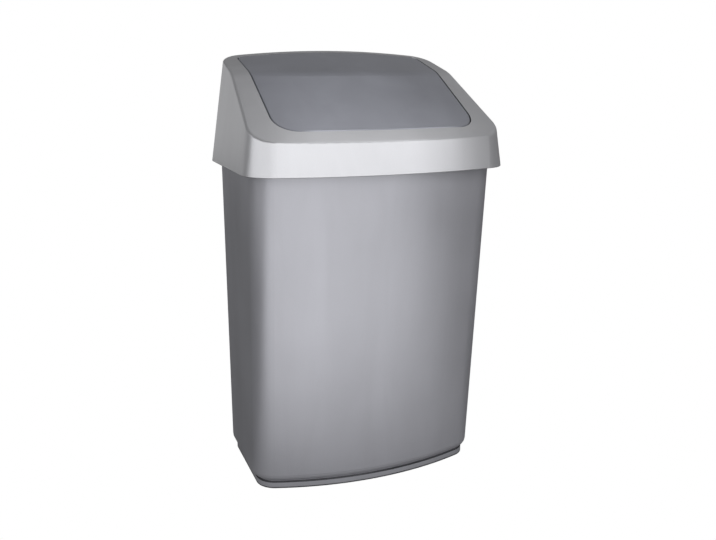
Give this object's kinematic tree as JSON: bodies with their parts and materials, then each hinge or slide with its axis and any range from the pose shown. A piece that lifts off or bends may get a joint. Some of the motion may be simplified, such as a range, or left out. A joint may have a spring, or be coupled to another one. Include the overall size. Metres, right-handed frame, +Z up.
{
  "type": "swing-lid trash can",
  "caption": "Tall tapered kitchen waste bin with a bowed front, a lift-off hood sloping up to the rear and a gravity-closed swinging flap.",
  "frame": {"origin": "on the floor, under the middle of the bin's overall box", "axes": "+Z up, -Y the bowed front that the low edge of the hood faces, +X to the viewer's right of the front"},
  "size_m": [0.3978, 0.3077, 0.6571],
  "materials": {
    "tub_plastic": "metallic silver-grey moulded polypropylene, soft satin sheen",
    "hood_plastic": "lighter metallic silver moulded polypropylene, satin sheen",
    "flap_plastic": "darker metallic grey moulded polypropylene, satin sheen"
  },
  "bodies": {
    "bin": {"bin_body": "tub_plastic"},
    "hood": {"hood": "hood_plastic"},
    "flap": {"swing_flap": "flap_plastic"}
  },
  "joints": [
    {"name": "hood_lift", "type": "slide", "parent": "bin", "child": "hood", "axis": [0, 0, 1], "range_m": [0, 0.08]},
    {"name": "flap_swing", "type": "hinge", "parent": "hood", "child": "flap", "pos_m": [0, -0.004, 0.5941], "axis": [1, 0, 0], "range_deg": [0, 45]}
  ]
}
